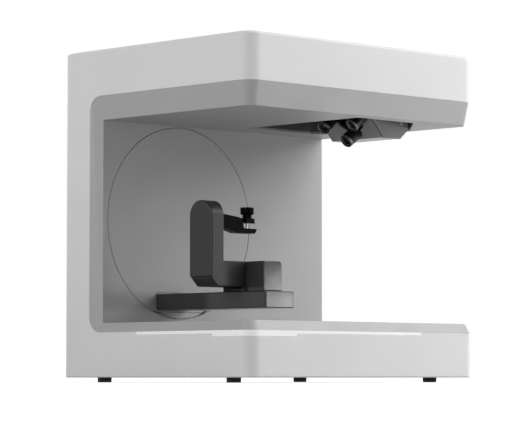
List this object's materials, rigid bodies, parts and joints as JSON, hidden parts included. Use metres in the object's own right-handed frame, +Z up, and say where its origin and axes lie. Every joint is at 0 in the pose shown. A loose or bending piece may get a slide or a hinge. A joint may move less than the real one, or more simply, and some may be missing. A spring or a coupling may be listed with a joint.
{
  "type": "desktop 3d scanner",
  "caption": "C-shaped desktop 3D scanner: a roll disc in the bay's rear wall swings an arm with a spinning sample clamp under a fixed angled scan head.",
  "frame": {"origin": "middle of the cabinet's footprint, on the surface the feet stand on", "axes": "+X to the right along the front face, +Y towards the back, +Z up"},
  "size_m": [0.328, 0.281, 0.34],
  "materials": {
    "casing": "satin moulded",
    "liner": "satin moulded",
    "well": "matte moulded",
    "light": "frosted light guide",
    "dark_sheet": "powder coated",
    "cast_frame": "cast",
    "bare_sheet": "folded sheet",
    "bare_aluminium": "turned",
    "circuit_board": "solder mask",
    "foot_rubber": "matte",
    "belt_rubber": "matte",
    "steel": "bright",
    "dark_steel": "blackened",
    "black_plastic": "satin",
    "motor": "black",
    "arm_black": "satin black",
    "clamp_black": "black oxide",
    "pod_grey": "satin grey",
    "barrel_black": "anodised black",
    "bezel_grey": "turned edge",
    "lens_glass": "coated"
  },
  "bodies": {
    "cabinet": {"outer_casing": "casing", "bay_liner": "liner", "rear_cover": "casing", "base_plate": "dark_sheet", "base_frame": "cast_frame", "column_plate": "cast_frame", "head_beam": "cast_frame", "head_well": "well", "light_bar": "light", "light_board": "circuit_board", "feet": "foot_rubber", "foot_screws": "steel", "cover_screws": "dark_steel", "frame_bolts": "steel", "main_board": "circuit_board", "power_supply": "bare_sheet", "power_inlet": "black_plastic", "data_socket": "steel", "switch_bezel": "black_plastic", "roll_bearing_outer": "steel", "roll_motor": "motor", "roll_belt": "belt_rubber", "pod_housing": "pod_grey", "pod_plate": "pod_grey", "rear_camera_barrel": "barrel_black", "front_camera_barrel": "barrel_black", "projector_barrel": "barrel_black", "rear_camera_lens": "lens_glass", "front_camera_lens": "lens_glass", "projector_lens": "lens_glass", "lens_bezels": "bezel_grey", "camera_modules": "motor", "projector_module": "motor"},
    "roll_arm": {"disc": "liner", "roll_pulley": "bare_aluminium", "roll_shaft": "steel", "shaft_nut": "dark_steel", "roll_bearing_inner": "steel", "arm_flange": "liner", "swing_beam": "arm_black", "beam_cover": "arm_black", "drive_block": "arm_black", "block_spacer": "black_plastic", "spindle_bracket": "arm_black", "bracket_cover": "arm_black", "spin_motor": "motor", "spin_belt": "belt_rubber", "spindle_bearing": "steel", "arm_board": "circuit_board"},
    "roll_rotor": {"roll_motor_pulley": "bare_aluminium"},
    "spin_rotor": {"spin_motor_pulley": "bare_aluminium"},
    "clamp": {"spindle": "steel", "spindle_pulley": "bare_aluminium", "clamp_arm": "clamp_black", "clamp_stud": "steel"},
    "jaw": {"upper_jaw": "clamp_black"},
    "knob": {"clamp_knob": "clamp_black"},
    "rocker": {"power_rocker": "black_plastic"}
  },
  "joints": [
    {"name": "arm_roll", "type": "hinge", "parent": "cabinet", "child": "roll_arm", "pos_m": [-0.0527, 0.079, 0.1662], "axis": [0, 1, 0], "range_deg": [-180, 180]},
    {"name": "roll_motor_spin", "type": "hinge", "parent": "cabinet", "child": "roll_rotor", "pos_m": [0.0253, 0.09, 0.1662], "axis": [0, 1, 0], "range_deg": [-725, 725]},
    {"name": "clamp_spin", "type": "hinge", "parent": "roll_arm", "child": "clamp", "pos_m": [-0.11, -0.03745, 0.1662], "axis": [1, 0, 0], "continuous": true},
    {"name": "spin_motor_spin", "type": "hinge", "parent": "roll_arm", "child": "spin_rotor", "pos_m": [-0.12, -0.03745, 0.1084], "axis": [1, 0, 0], "continuous": true},
    {"name": "jaw_slide", "type": "slide", "parent": "clamp", "child": "jaw", "axis": [0, 0, 1], "range_m": [-0.0055, 0.002]},
    {"name": "knob_turn", "type": "hinge", "parent": "jaw", "child": "knob", "pos_m": [-0.0675, -0.03745, 0.168], "axis": [0, 0, 1], "range_deg": [-4050, 1530]},
    {"name": "power_switch", "type": "hinge", "parent": "cabinet", "child": "rocker", "pos_m": [0.052, 0.1345, 0.053], "axis": [1, 0, 0], "range_deg": [0, 16]}
  ],
  "couplings": [
    {"joint": "roll_motor_spin", "follows": "arm_roll", "ratio": 4},
    {"joint": "spin_motor_spin", "follows": "clamp_spin", "ratio": 1.6071},
    {"joint": "knob_turn", "follows": "jaw_slide", "rad_per_m": 12566}
  ]
}
